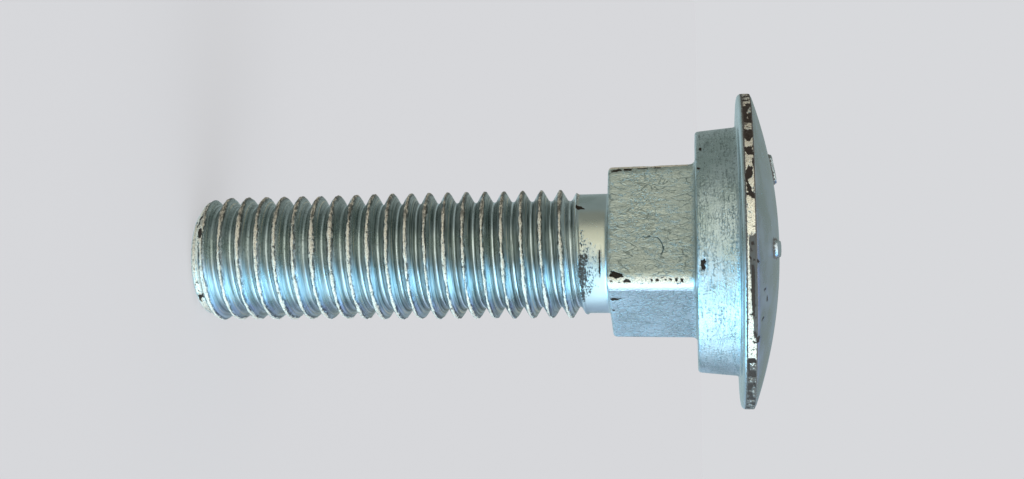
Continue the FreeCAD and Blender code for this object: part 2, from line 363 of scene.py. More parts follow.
def head_rings(thread, shank, head):
    """Every ring of points from the top of the threaded stretch to the top of the dome."""
    angles = np.arange(HEAD_COLUMNS) * (2 * math.pi / HEAD_COLUMNS)
    rings = []

    def add(radius, height):
        rings.append(ring_points(radius, height, HEAD_COLUMNS))

    def edge(radius, height, pairs):
        """A rounded edge or corner: each pair is how far out and up a ring is from it, in millimetres."""
        for out, up in pairs:
            add(radius + out * MM, height + up * MM)

    def neck(height):
        half_width = shank.neck_half_width + (height - shank.neck_start) * NECK_DRAFT
        return square_reach(angles - shank.neck_turn, half_width, shank.neck_corner)

    def neck_edge(height, pairs):
        """A rounded edge or corner of the square neck."""
        for out, up in pairs:
            add(neck(height + up * MM) + out * MM, height + up * MM)

    for height in np.linspace(thread.top_height + 0.12 * MM, shank.neck_start - 0.3 * MM, 10):
        add(shank.shank_radius, height)
    edge(shank.shank_radius, shank.neck_start, ((0.02, -0.18), (0.07, -0.07), (0.16, -0.01)))
    front = neck(shank.neck_start) - 0.32 * MM
    for share in (0.3, 0.65, 1.0):
        add(between(shank.shank_radius + 0.16 * MM, front, share), shank.neck_start)
    neck_edge(shank.neck_start, ((-0.19, 0.035), (-0.09, 0.11), (-0.03, 0.22)))
    for height in np.linspace(shank.neck_start + 0.36 * MM, shank.collar_start - 0.5 * MM, 30):
        add(neck(height), height)
    neck_edge(shank.collar_start, ((0.03, -0.33), (0.1, -0.18), (0.22, -0.07), (0.42, -0.01)))
    root = neck(shank.collar_start) + 0.42 * MM
    collar_edge = shank.collar_radius - 0.25 * MM
    for share in (0.33, 0.66, 1.0):
        add(between(root, collar_edge, share), shank.collar_start)
    edge(shank.collar_radius, shank.collar_start, ((-0.12, 0.04), (-0.03, 0.12)))
    collar_end = head.under_head - 0.32 * MM
    for height in np.linspace(shank.collar_start + 0.26 * MM, collar_end, 15):
        share = (height - shank.collar_start) / (head.under_head - shank.collar_start)
        add(between(shank.collar_radius, shank.collar_top_radius, share), height)
    edge(shank.collar_top_radius, head.under_head, ((0.02, -0.2), (0.08, -0.1), (0.18, -0.03), (0.34, 0.0)))
    for radius in np.linspace(shank.collar_top_radius + 0.6 * MM, head.rim_radius - 0.62 * MM, 8):
        add(radius, head.under_head)
    under_rim = ((-0.45, 0.02), (-0.3, 0.06), (-0.17, 0.13), (-0.07, 0.24), (-0.02, 0.36))
    edge(head.rim_radius, head.under_head, under_rim)
    for height in np.linspace(head.under_head + 0.5 * MM, head.rim_top - 0.14 * MM, 5):
        add(head.rim_radius, height)
    edge(head.rim_radius, head.rim_top, ((-0.02, -0.07), (-0.07, -0.02), (-0.16, 0.01)))
    rise = head.dome_top - head.rim_top
    dome_radius = (head.rim_radius**2 + rise**2) / (2 * rise)
    beyond_bars = np.linspace(head.rim_radius - 0.35 * MM, 9.1 * MM, 12)
    beside_bars = np.linspace(9.0 * MM, 5.75 * MM, 27)
    inside_bars = np.linspace(5.45 * MM, 0.4 * MM, 11)
    for radius in np.concatenate([beyond_bars, beside_bars, inside_bars]):
        add(radius, head.dome_top - dome_radius + math.sqrt(dome_radius**2 - radius**2))
    return rings


def fill_between(first, second):
    """Faces between two rings of point numbers, where the second ring has as many points or twice as many."""
    count = len(first)
    if len(second) == count:
        return [(first[i], first[(i + 1) % count], second[(i + 1) % count], second[i]) for i in range(count)]
    faces = []
    for i in range(count):
        after = (i + 1) % count
        left, middle, right = second[2 * i], second[2 * i + 1], second[2 * after]
        faces += [(first[i], middle, left), (first[i], first[after], middle), (first[after], right, middle)]
    return faces


def ring_mesh(name, rings, tip):
    """A mesh of rings one after another, closed with a point at the tip. Each ring is an array of points."""
    points, faces, before = [], [], None
    for ring in rings:
        numbers = list(range(len(points), len(points) + len(ring)))
        points.extend(ring.tolist())
        if before is not None:
            faces += fill_between(before, numbers)
        before = numbers
    points.append(tip)
    faces += [(before[i], before[(i + 1) % len(before)], len(points) - 1) for i in range(len(before))]
    mesh = bpy.data.meshes.new(name)
    mesh.from_pydata(points, [], faces)
    return mesh


def welded(name, meshes):
    """One closed mesh from several that share their edge rings, with its faces outwards."""
    bm = bmesh.new()
    for mesh in meshes:
        bm.from_mesh(mesh)
    bmesh.ops.remove_doubles(bm, verts=bm.verts, dist=WELD_DISTANCE)
    bmesh.ops.recalc_face_normals(bm, faces=bm.faces)
    open_edges = sum(1 for edge in bm.edges if not edge.is_manifold)
    if open_edges:
        raise RuntimeError("%s has %d open edges" % (name, open_edges))
    if bm.calc_volume(signed=True) < 0:
        bmesh.ops.reverse_faces(bm, faces=bm.faces)
    result = bpy.data.meshes.new(name)
    bm.to_mesh(result)
    bm.free()
    for mesh in meshes:
        bpy.data.meshes.remove(mesh)
    result.polygons.foreach_set("use_smooth", [True] * len(result.polygons))
    return result


def scaled(builder, place, scale, stretch=(1.0, 1.0, 1.0), turn=0.0):
    """The place in cells, with so many of them to the millimetre, after a turn about X."""
    inputs = {"Vector": place, "Rotation": (turn, 0.0, 0.0), "Scale": tuple(scale / MM * s for s in stretch)}
    return builder.node("ShaderNodeMapping", inputs).outputs[0]


def pattern(builder, place, scale, stretch=(1.0, 1.0, 1.0), detail=4.0, roughness=0.5, turn=0.0):
    """A noise pattern with so many features to the millimetre."""
    cells = scaled(builder, place, scale, stretch, turn)
    inputs = {"Vector": cells, "Scale": 1.0, "Detail": detail, "Roughness": roughness}
    return builder.node("ShaderNodeTexNoise", inputs).outputs[0]


def cracks(builder, place, scale, stretch, width, wander, turn=0.0):
    """Thin wandering lines along the borders of cells: 1 on a line, 0 beside it."""
    inputs = {"Vector": scaled(builder, place, 0.8), "Scale": 1.0, "Detail": 3.0}
    wobble = builder.node("ShaderNodeTexNoise", inputs).outputs["Color"]
    inputs = {0: wobble, 1: (wander * MM,) * 3, 2: place}
    moved = builder.node("ShaderNodeVectorMath", inputs, operation="MULTIPLY_ADD").outputs[0]
    inputs = {"Vector": scaled(builder, moved, scale, stretch, turn), "Scale": 1.0}
    edge = builder.node("ShaderNodeTexVoronoi", inputs, feature="DISTANCE_TO_EDGE").outputs[0]
    return builder.smooth(edge, 0.0, width, 1.0, 0.0)


def wrinkles(builder, place, scale, stretch, width, turn):
    """Open, flowing lines: 1 where a noise pattern passes through its middle value."""
    waves = pattern(builder, place, scale, stretch, detail=5.0, roughness=0.6, turn=turn)
    return builder.smooth(builder.off(waves, 0.5), 0.0, width, 1.0, 0.0)


def mix_colour(builder, share, first, second, blend="MIX"):
    """A colour between two others, or one with a share of the other added."""
    node = builder.node("ShaderNodeMix", data_type="RGBA", blend_type=blend)
    builder.feed(node.inputs[0], share)
    for socket, value in zip((node.inputs[6], node.inputs[7]), (first, second)):
        builder.feed(socket, value if isinstance(value, bpy.types.NodeSocket) else (*value, 1.0))
    return node.outputs[2]


# The long curved crack on the square neck: its middle, and its reach in mm with the mean of the
# noise that bends it.
CRACK_CENTRE = (-0.076 * MM, -6.683 * MM, 42.22 * MM)
CRACK_REACH = 1.96


class WornZinc:
    """Lays plating, dirt and wear over one another, each method over what the ones before have laid."""

    def __init__(self, tree, finish):
        self.b = b = NodeBuilder(tree)
        self.finish = finish
        self.place = b.node("ShaderNodeTexCoord").outputs["Object"]
        self.side, _, self.upward = b.node("ShaderNodeSeparateXYZ", {0: self.place}).outputs
        self.wear = {name: self.kept(name).outputs["Fac"] for name in WEAR_LAYERS}
        self.spiral = self.kept("along_thread").outputs["Vector"]
        off_crest = b.node("ShaderNodeSeparateXYZ", {0: self.spiral}).outputs[2]
        self.across = b.product(off_crest, 1 / MM)
        self.fresh = b.smooth(self.upward, 12.0 * MM, 22.0 * MM, 0.45, 1.0)

        self.cloud = pattern(b, self.place, 0.3, detail=3.0)
        self.patchy = pattern(b, self.place, 0.9, detail=3.0)
        self.grain = pattern(b, self.place, 5.0, detail=4.0, roughness=0.65)
        self.fine = pattern(b, self.place, 11.0, detail=3.0)
        self.speck = pattern(b, self.place, 3.2, detail=6.0, roughness=0.7)
        self.hooped = pattern(b, self.place, 5.0, (0.12, 0.12, 1.0), detail=4.0, roughness=0.6)
        self.rolled = pattern(b, self.spiral, 6.0, (0.035, 1.0, 1.0), detail=5.0, roughness=0.6)
        self.crumb = pattern(b, self.spiral, 4.0, (0.5, 1.0, 1.0), detail=6.0, roughness=0.75)

        self.surface = mix_colour(b, b.smooth(self.cloud, 0.36, 0.64), finish.zinc_dark, finish.zinc)

    def kept(self, name):
        """What the mesh keeps under this name."""
        return self.b.node("ShaderNodeAttribute", attribute_name=name)

    def lay(self, rgb, *shares):
        """Cover the surface with a colour, by the product of the shares."""
        self.surface = mix_colour(self.b, self.b.product(*shares), self.surface, rgb)

    def tints(self):
        """The dry film on the neck, plain tints of some other stretches, and a painted warm reflection on the
        front of the shank.
        """
        finish = self.finish
        covers = (
            ("neck", 0.85, finish.film),
            ("lower_face", 0.2, finish.bright),
            # Painted reflection: a warm cream tint on the front of the shank.
            ("cream_reflection", 0.5, finish.cream_dark),
            ("dome", 0.25, finish.grime),
        )
        for layer, strength, rgb in covers:
            self.lay(rgb, self.wear[layer], strength)

    def rolled_streaks(self):
        """Streaks along the thread, dark lines on its flanks, darker roots, and painted highlights: on the
        last turn, in the roots and along the flanks.
        """
        b, finish, rolled, fresh = self.b, self.finish, self.rolled, self.fresh
        on_thread = self.wear["thread"]
        from_crest = b.math("ABSOLUTE", self.across)

        # Painted highlight: the last turn before the shank is laid in pale zinc.
        last_turn_highlight = b.smooth(self.upward, 34.0 * MM, 34.5 * MM)
        self.lay(finish.bright, last_turn_highlight, on_thread, 0.6)
        self.lay(finish.grime, b.smooth(rolled, 0.52, 0.60), on_thread, fresh, 0.74)
        self.lay(finish.bright, b.smooth(rolled, 0.46, 0.38), on_thread, 0.5)
        self.lay(finish.grime, b.smooth(from_crest, 0.58, 0.70), on_thread, fresh, 0.6)

        off_flank = b.off(b.math("ABSOLUTE", b.total(self.across, 0.02)), 0.62)
        flank_line = b.product(b.smooth(off_flank, 0.06, 0.02), b.smooth(rolled, 0.44, 0.54))
        self.lay(finish.grime, flank_line, on_thread, fresh, 0.85)
        # Painted highlight: a thin pale line down the middle of each root.
        root_highlight = b.product(b.smooth(from_crest, 0.79, 0.83), b.smooth(rolled, 0.57, 0.46))
        self.lay(finish.bright, root_highlight, on_thread, fresh, 0.9)
        # Painted highlight: a thin cream glint along the middle of each flank.
        off_glint = b.off(b.math("ABSOLUTE", b.total(self.across, -0.03)), 0.43)
        glint = b.product(b.smooth(off_glint, 0.05, 0.015), b.smooth(rolled, 0.55, 0.42))
        self.lay(finish.cream, glint, on_thread, 0.85)

    def crests(self):
        """Find the crests that are rubbed bare, and lay a dark line on either side of them."""
        b, on_thread = self.b, self.wear["thread"]
        wander = pattern(b, self.spiral, 0.7, (0.4, 1.0, 1.0), detail=2.0)
        width = b.total(b.product(wander, 0.40), b.smooth(self.fresh, 0.45, 1.0, -0.01, -0.065))
        inside = b.difference(width, b.ragged(self.crumb, 0.44, b.math("ABSOLUTE", self.across)))
        self.crest = b.product(b.smooth(inside, -0.015, 0.03), on_thread)
        beside = b.product(b.smooth(b.total(inside, 0.12), -0.02, 0.03), on_thread)
        self.lay(self.finish.bare_steel, beside, b.smooth(self.crumb, 0.36, 0.56), 0.85)

    def grain_and_pits(self):
        """Dark grain on the collar, the neck and the first turns of the thread."""
        b, wear, grain = self.b, self.wear, self.grain
        pits = b.smooth(b.total(grain, b.product(self.hooped, 0.8)), 0.94, 1.04)
        pitted = b.product(pits, wear["collar"], 0.95)
        sooty = b.product(b.smooth(grain, 0.53, 0.62), wear["sooty"])
        self.peppered = b.largest(pitted, sooty)
        self.lay(self.finish.grime, self.peppered, 0.60)
        self.lay(self.finish.grime, b.smooth(grain, 0.52, 0.64), wear["neck"], 0.35)

    def long_crack(self):
        """The curved crack in the middle of the neck."""
        b = self.b
        away = b.node("ShaderNodeVectorMath", {0: self.place, 1: CRACK_CENTRE}, operation="DISTANCE")
        from_centre = b.product(away.outputs["Value"], 1 / MM)
        bent = b.total(from_centre, b.product(self.speck, 0.3), b.product(self.patchy, 0.9))
        side_part = b.smooth(self.side, 0.2 * MM, 0.5 * MM, 1.0, 0.0)
        upper_part = b.smooth(self.upward, 41.5 * MM, 41.8 * MM)
        line = b.smooth(b.off(bent, CRACK_REACH), 0.03, 0.08, 1.3, 0.0)
        return b.product(line, side_part, upper_part)

    def cracked_film(self):
        """Cracks and wrinkles in the film on the neck, and finer ones on its lower face and the collar."""
        b, wear, place = self.b, self.wear, self.place
        broken = b.smooth(self.patchy, 0.40, 0.58)
        wide = b.product(cracks(b, place, 1.7, (1.0, 1.0, 0.32), 0.07, 0.9), broken, 0.8)
        folds = wrinkles(b, place, 1.5, (1.0, 1.0, 0.28), 0.012, 0.0)
        folds = b.product(folds, b.smooth(self.patchy, 0.58, 0.44))
        slanting = wrinkles(b, place, 2.4, (1.0, 1.0, 0.35), 0.014, 0.55)
        slanting = b.product(slanting, b.smooth(self.cloud, 0.58, 0.44), 0.8)
        wide = b.largest(folds, slanting, wide, self.long_crack())
        small = cracks(b, place, 4.6, (1.0, 1.0, 0.42), 0.24, 0.5)
        small = b.product(small, b.smooth(self.cloud, 0.35, 0.6, 0.9, 0.4), 0.38)
        on_neck = b.product(b.largest(wide, small), wear["neck"])
        on_lower_face = cracks(b, place, 3.4, (1.0, 1.0, 0.5), 0.13, 0.5, 0.8)
        on_lower_face = b.product(on_lower_face, wear["lower_face"], 0.8)
        hoops = b.product(cracks(b, place, 4.4, (0.3, 0.3, 1.0), 0.16, 0.3), broken, wear["collar"], 0.4)
        self.cracked = b.largest(on_neck, on_lower_face, hoops)
        self.lay(self.finish.grime, self.cracked, 0.75)

    def rubbed_soiled_and_painted_light(self):
        """Ridges that are rubbed bare, a painted highlight by the corner of the square, brown dirt, and
        painted shade round the bars.
        """
        b, wear, finish = self.b, self.wear, self.finish
        ridges = b.smooth(b.ragged(self.speck, 1.6, wear["rubbed"]), 0.34, 0.52)
        self.rubbed = b.largest(ridges, self.crest)
        cream = mix_colour(b, b.smooth(self.fine, 0.42, 0.62), finish.cream, finish.cream_dark)
        self.lay(cream, self.rubbed)
        self.lay(finish.soil, self.crest, wear["darkened"], b.smooth(self.crumb, 0.42, 0.52), 0.85)
        # Painted highlight in a strip beside the rounded corner of the square.
        self.lay(finish.bright, b.smooth(b.ragged(self.speck, 0.8, wear["painted_highlight"]), 0.35, 0.65))
        # Dirt on the rim, and painted shade round the foot of the bars.
        self.soiled = b.smooth(b.ragged(self.grain, 1.5, wear["soiled"]), 0.36, 0.60)
        self.lay(finish.soil, self.soiled, 0.95)

    def chips_and_stains(self):
        """Chips, flecks and brown stains."""
        b, wear = self.b, self.wear
        smear = pattern(b, self.place, 4.5, (1.0, 1.0, 1.6), detail=6.0, roughness=0.8)
        stained = b.smooth(b.ragged(smear, 4.4, b.product(wear["stained"], 0.85)), 0.62, 0.82)
        chips = b.smooth(b.ragged(self.speck, 2.0, wear["chipped"]), 0.46, 0.56)
        flecks = b.product(b.smooth(self.speck, 0.585, 0.63), self.rubbed, 0.9)
        self.chipped = b.largest(chips, flecks, b.product(stained, 0.9))
        self.lay(self.finish.bare_steel, self.chipped)

    def metallic(self):
        """Metal everywhere, less so where it is rubbed or chipped, and under dirt and painted shade."""
        b = self.b
        clean = b.difference(1.0, b.product(self.chipped, 0.25))
        less_rubbed = b.smooth(self.rubbed, 0.0, 1.0, 1.0, 0.55)
        less_soiled = b.smooth(self.soiled, 0.0, 1.0, 1.0, 0.12)
        return b.product(less_rubbed, less_soiled, clean)

    def roughness(self):
        """Satin plating, duller where anything covers it."""
        b = self.b
        rough = b.total(
            b.smooth(self.cloud, 0.3, 0.7, 0.23, 0.34),
            b.product(self.peppered, 0.2),
            b.product(self.cracked, 0.25),
            b.product(self.rubbed, 0.14),
            b.product(self.soiled, 0.42),
            b.product(self.wear["neck"], 0.08),
            b.product(self.chipped, 0.45),
        )
        return b.math("MINIMUM", rough, 0.9)

    def relief(self):
        """The surface normal with the finest grain, streaks, cracks and chips pressed in."""
        b, wear = self.b, self.wear
        height = b.total(
            b.product(self.fine, 0.005),
            b.product(self.grain, b.largest(wear["collar"], wear["neck"]), 0.05),
            b.product(self.hooped, wear["collar"], 0.05),
            b.product(self.grain, wear["sooty"], 0.03),
            b.product(self.rolled, wear["thread"], 0.035),
            b.product(self.cracked, -0.035),
            b.product(self.chipped, -0.03),
            b.product(self.crest, self.crumb, 0.05),
        )
        inputs = {"Height": b.product(height, MM), "Strength": 0.9, "Distance": 1.0}
        return b.node("ShaderNodeBump", inputs).outputs[0]


def zinc_material(finish):
    """Blue-white zinc plating, dulled and streaked, rubbed to cream on ridges, chipped to dark steel, with
    painted highlights, a painted reflection and painted shade in places.
    """
    material = bpy.data.materials.new("worn_zinc_plating")
    material.use_nodes = True
    shader = material.node_tree.nodes["Principled BSDF"]
    zinc = WornZinc(material.node_tree, finish)
    zinc.tints()
    zinc.rolled_streaks()
    zinc.crests()
    zinc.grain_and_pits()
    zinc.cracked_film()
    zinc.rubbed_soiled_and_painted_light()
    zinc.chips_and_stains()
    zinc.b.feed(shader.inputs["Base Color"], zinc.surface)
    zinc.b.feed(shader.inputs["Metallic"], zinc.metallic())
    zinc.b.feed(shader.inputs["Roughness"], zinc.roughness())
    zinc.b.feed(shader.inputs["Normal"], zinc.relief())
    return material


def bearing_and_reach(points):
    """Each point's bearing from the front, in degrees towards +X, and its distance from the axis."""
    bearing = np.degrees(np.arctan2(points[:, 0], -points[:, 1]))
    return bearing, np.hypot(points[:, 0], points[:, 1])


def eased(share):
    """The share, with a soft start and finish."""
    return share * share * (3 - 2 * share)


def band(values, low, high, soft):
    """1 between low and high, falling smoothly to 0 over soft on either side."""
    rising = np.clip((values - low + soft) / soft, 0, 1)
    falling = np.clip((high + soft - values) / soft, 0, 1)
    return eased(rising * falling)


def rough_noise(points, scale, seed, octaves=3):
    """Fractal noise from -1 to 1 at each point, with so many features to the millimetre."""
    shift = Vector((seed * 7.3, seed * 3.1, seed * 5.7))
    return np.array([noise.fractal(Vector(p) * (scale / MM) + shift, 0.7, 2.0, octaves) for p in points])


def mark_weight(points, bearing, reach, mark, ragged):
    """How strongly a mark, (height, bearing, tall, wide) in millimetres and degrees, covers each point."""
    height, middle, tall, wide = mark
    up = (points[:, 2] / MM - height) / (tall / 2)
    aside = (bearing - middle + 180) % 360 - 180
    across = np.radians(aside) * reach / MM / (wide / 2)
    away = np.hypot(up, across) + 0.45 * ragged
    return np.clip((1.25 - away) / 0.5, 0, 1)


def stretches(values, spans, soft):
    """Where values lie in any of the spans, each (low, high, weight)."""
    return np.maximum.reduce([weight * band(values, low, high, soft) for low, high, weight in spans])


def wear_layers(points, head):
    """The strength of each kind of wear at each point, from bands in millimetres and degrees."""
    height = points[:, 2] / MM
    bearing, reach = bearing_and_reach(points)
    reach_mm = reach / MM
    on_rim = reach_mm > 13.8
    ragged = rough_noise(points, 1.6, 1)
    layers = {}

    def covered(marks):
        """How strongly any of the marks covers each point."""
        return np.maximum.reduce([mark_weight(points, bearing, reach, mark, ragged) for mark in marks])

    layers["thread"] = band(height, -1.0, 35.7, 0.3) * np.clip((reach_mm - 4.6) / 0.3, 0, 1)
    on_neck = band(height, 38.75, 46.1, 0.3)
    layers["lower_face"] = on_neck * band(bearing, 26.0, 108.0, 5.0)
    layers["neck"] = on_neck * (1 - band(bearing, 20.0, 112.0, 5.0))
    layers["collar"] = band(height, 46.45, 49.8, 0.2)
    layers["dome"] = band(height, 51.35, 60.0, 0.2)
    layers["sooty"] = layers["thread"] * band(bearing, -150.0, -12.0, 30.0) * band(height, 0.0, 14.0, 12.0)

    layers["darkened"] = layers["thread"] * band(bearing, -140.0, -42.0, 14.0)
    # Painted highlight: a strip beside the rounded corner of the square neck, laid in pale zinc.
    layers["painted_highlight"] = band(height, 38.9, 45.9, 0.3) * band(bearing, 21.2, 26.2, 1.5) * 0.9

    rim_land = band(height, 50.4, 51.1, 0.06) * on_rim
    rim_edges = (band(height, 50.32, 50.42, 0.05) + band(height, 51.1, 51.18, 0.05)) * on_rim
    rim_soil = stretches(bearing, RIM_SOIL, 4.0)
    # Below the long streak the rim stays bright, and more so towards +X.
    streak_foot = np.where(band(bearing, -2.0, 40.0, 1.0) > 0, 50.5 + 0.011 * bearing, 50.0)
    rim_soil = rim_soil * np.clip((height - streak_foot) / 0.08, 0, 1)
    corner_bearing = (bearing - 19.4 + 45) % 90 - 45
    on_corner = band(corner_bearing, -3.0, 1.5, 1.2) * band(height, 38.7, 45.6, 0.4)
    end_face = band(height, -1.0, 1.0, 0.15) * band(reach_mm, 4.75, 5.6, 0.15)
    # Painted reflection: a warm cream tint on the front of the shank.
    layers["cream_reflection"] = band(height, 36.1, 38.3, 0.15) * band(bearing, -38.0, 4.0, 9.0)
    layers["rubbed"] = np.maximum.reduce(
        [0.75 * rim_land * (1 - 0.6 * rim_soil), 0.62 * on_corner, 0.55 * end_face]
    )
    # The rim's dirt, dark lines along both edges of its land, and painted shade: a dark ring round the foot
    # of each bar.
    shade_round_bars = band(outside_bars(points, head) / MM, 0.0, 0.12, 0.12)
    layers["soiled"] = np.maximum.reduce([rim_land * rim_soil, rim_edges, 0.8 * shade_round_bars])
    layers["stained"] = np.maximum(1.2 * covered(STAINS), 0.6 * covered(STAIN_EDGES))

    rim_ragged = stretches(bearing, RIM_CHIPS, 3.0) + 0.6 * rough_noise(points, 1.1, 3)
    rim_pieces = np.clip((rim_ragged - 0.42) / 0.12, 0, 1)
    chips = np.maximum(covered(MARKS), rim_pieces * rim_land)
    end_pieces = np.clip((0.7 * rough_noise(points, 0.8, 4) - 0.1) / 0.2, 0, 1)
    layers["chipped"] = np.maximum(chips, end_face * end_pieces)
    return layers


# Chips and nicks: height and bearing of the middle, size along the axis and across, in mm and degrees.
MARKS = (
    (36.1, -48.0, 0.75, 0.85),
    (37.9, 9.3, 0.16, 2.4),
    (39.4, -67.2, 0.9, 0.45),
    (40.4, -67.8, 0.8, 0.35),
    (41.7, -68.4, 0.9, 0.28),
    (43.0, -68.6, 0.7, 0.25),
    (39.4, 15.2, 1.0, 0.55),
    (40.4, 19.2, 0.7, 0.35),
    (39.2, 38.7, 0.8, 0.5),
    (38.95, 58.8, 0.3, 0.4),
    (46.8, -53.4, 0.25, 0.25),
    (46.65, -39.5, 0.3, 0.3),
    (46.9, 7.4, 0.25, 1.3),
    (1.0, -24.0, 0.4, 1.2),
    (50.75, -40.6, 0.5, 0.7),
    (50.75, -25.7, 0.7, 1.3),
    (50.85, 13.0, 0.3, 5.6),
    (51.3, 4.5, 0.25, 0.4),
    (51.25, 33.0, 0.4, 0.8),
    (51.9, 17.0, 0.16, 0.5),
    (52.1, 22.0, 0.14, 0.6),
    (51.7, 27.5, 0.16, 0.4),
)
# A row of small nicks beside the corner of the square.
MARKS += tuple((height, 18.4, 0.3, 0.28) for height in (42.5, 43.0, 43.6, 44.1, 44.6, 45.1))
# Brown stains on the shank, given in the same way.
STAINS = ((36.35, 19.0, 0.75, 3.4), (36.3, 40.0, 0.35, 2.2), (36.6, 8.0, 0.9, 1.4))
STAIN_EDGES = ((36.8, 18.0, 1.9, 5.0), (36.4, -8.0, 0.6, 3.0))
# Stretches of the rim between two bearings, and how likely they are soiled or chipped.
RIM_SOIL = (
    (-180.0, -95.0, 0.55),
    (-88.0, -42.0, 0.45),
    (-2.0, 30.0, 0.95),
    (44.0, 92.0, 0.62),
    (96.0, 180.0, 0.5),
)
RIM_CHIPS = (
    (-180.0, -95.0, 0.3),
    (-86.0, -40.0, 0.46),
    (-37.0, -18.0, 0.40),
    (-2.0, 33.0, 0.2),
    (42.0, 84.0, 0.5),
    (95.0, 180.0, 0.3),
)


def lit_table_material(name, rgb, glow):
    """A matt sheet that glows evenly, like a light table."""
    material = bpy.data.materials.new(name)
    material.use_nodes = True
    shader = material.node_tree.nodes["Principled BSDF"]
    shader.inputs["Base Color"].default_value = (*rgb, 1)
    shader.inputs["Roughness"].default_value = 0.9
    shader.inputs["Specular IOR Level"].default_value = 0.0
    shader.inputs["Emission Color"].default_value = (*glow, 1)
    shader.inputs["Emission Strength"].default_value = 1.0
    material.cycles.emission_sampling = "NONE"
    return material


def numbers_of(items, name, width=1, kind=np.float64):
    """One property of every vertex, face or corner as an array."""
    values = np.empty(len(items) * width, dtype=kind)
    items.foreach_get(name, values)
    return values.reshape(-1, width) if width > 1 else values


def outside_bars(points, head):
    """Each point's distance from the outline of the nearer of the two plain bars, negative on a bar."""
    bearing, reach = bearing_and_reach(points)
    nearest = np.full(len(points), head.rim_radius)
    end_centre = head.bar_length / 2 - head.bar_end_radius
    for middle in (-90.0, 0.0):
        turned = np.radians(bearing - middle)
        along = np.abs(reach * np.cos(turned) - head.bar_distance)
        aside = np.abs(reach * np.sin(turned))
        beyond_side = aside - head.bar_width / 2
        beyond_end = np.hypot(np.maximum(along - end_centre, 0), aside) - head.bar_end_radius
        outside = np.where(np.cos(turned) > 0, np.maximum(beyond_side, beyond_end), head.rim_radius)
        nearest = np.minimum(nearest, outside)
    return np.where(points[:, 2] > head.rim_top + 0.3 * MM, nearest, head.rim_radius)


# A bar's side begins this far outside its outline, and slopes over this width.
BAR_FOOT = 0.05 * MM
BAR_SLOPE = 0.17 * MM


def raised_bars(points, head):
    """How far each point stands up where one of the two plain bars is on the dome."""
    share = np.clip((BAR_FOOT - outside_bars(points, head)) / BAR_SLOPE, 0, 1)
    return eased(share) * head.bar_height


def wear_surface(mesh, thread, head):
    """Raise the bars, press wrinkles, dents and chips in, and keep each kind of wear and of painted light for
    the material.
    """
    points = numbers_of(mesh.vertices, "co", 3)
    normals = numbers_of(mesh.vertices, "normal", 3)
    layers = wear_layers(points, head)
    bearing, reach = bearing_and_reach(points)
    height = points[:, 2] / MM

    wrinkled = -np.abs(rough_noise(points * np.array((1.0, 1.0, 0.3)), 1.5, 5, 4)) * layers["neck"]
    uneven = rough_noise(points, 0.25, 6, 2) * band(height, 36.5, 51.0, 1.0)
    near_crest = np.clip((reach / MM - 5.55) / 0.35, 0, 1) * layers["thread"]
    crest_wear = -np.abs(rough_noise(points, 0.8, 7, 3)) * near_crest
    first_turns = np.clip((reach / MM - 5.6) / 0.33, 0, 1) * band(height, 0.5, 12.0, 6.0)
    move = 0.05 * wrinkled + 0.02 * uneven + 0.13 * crest_wear
    move += -0.07 * first_turns - 0.08 * layers["chipped"]
    move[height < 0.05] = 0.0
    moved = points + normals * move[:, None] * MM
    moved[:, 2] += raised_bars(points, head)
    moved[:, 2] = np.clip(moved[:, 2], 0.0, TOTAL_HEIGHT)
    widest = min(-LOWEST[0], -LOWEST[1], HIGHEST[0], HIGHEST[1])
    moved_reach = np.maximum(np.hypot(moved[:, 0], moved[:, 1]), MM)
    moved[:, :2] *= np.minimum(1.0, widest / moved_reach)[:, None]
    mesh.vertices.foreach_set("co", moved.ravel())
    for name, values in layers.items():
        mesh.attributes.new(name, "FLOAT", "POINT").data.foreach_set("value", values.astype(np.float32))
    mark_spiral(mesh, points, thread)
    mesh.update()


# About the length of one turn of the thread, along its crest.
TURN_LENGTH = 37.0 * MM


def mark_spiral(mesh, points, thread):
    """Keep each corner's place along the thread, its reach, and its distance from the nearest crest."""
    corners = numbers_of(mesh.loops, "vertex_index", kind=np.int32)
    corner_counts = numbers_of(mesh.polygons, "loop_total", kind=np.int32)
    face_of_corner = np.repeat(np.arange(len(mesh.polygons)), corner_counts)
    centres = numbers_of(mesh.polygons, "center", 3)
    face_turn = ((bearing_and_reach(centres)[0] + 90) / 360) % 1.0
    nearest_crest = np.round((centres[:, 2] - thread.first_crest) / thread.pitch - face_turn)
    bearing, reach = bearing_and_reach(points)
    turn = (((bearing + 90) / 360) % 1.0)[corners]
    turn += np.round(face_turn[face_of_corner] - turn) + nearest_crest[face_of_corner]
    off_crest = points[corners, 2] - thread.first_crest - turn * thread.pitch
    spiral = np.stack([turn * TURN_LENGTH, reach[corners], off_crest], axis=1)
    kept = mesh.attributes.new("along_thread", "FLOAT_VECTOR", "CORNER")
    kept.data.foreach_set("vector", spiral.astype(np.float32).ravel())


# Rings of the flat end, each so far inside its edge, in millimetres.
END_INSETS = (0.0, 0.3, 0.9, 1.6, 2.4, 3.2, 3.9)


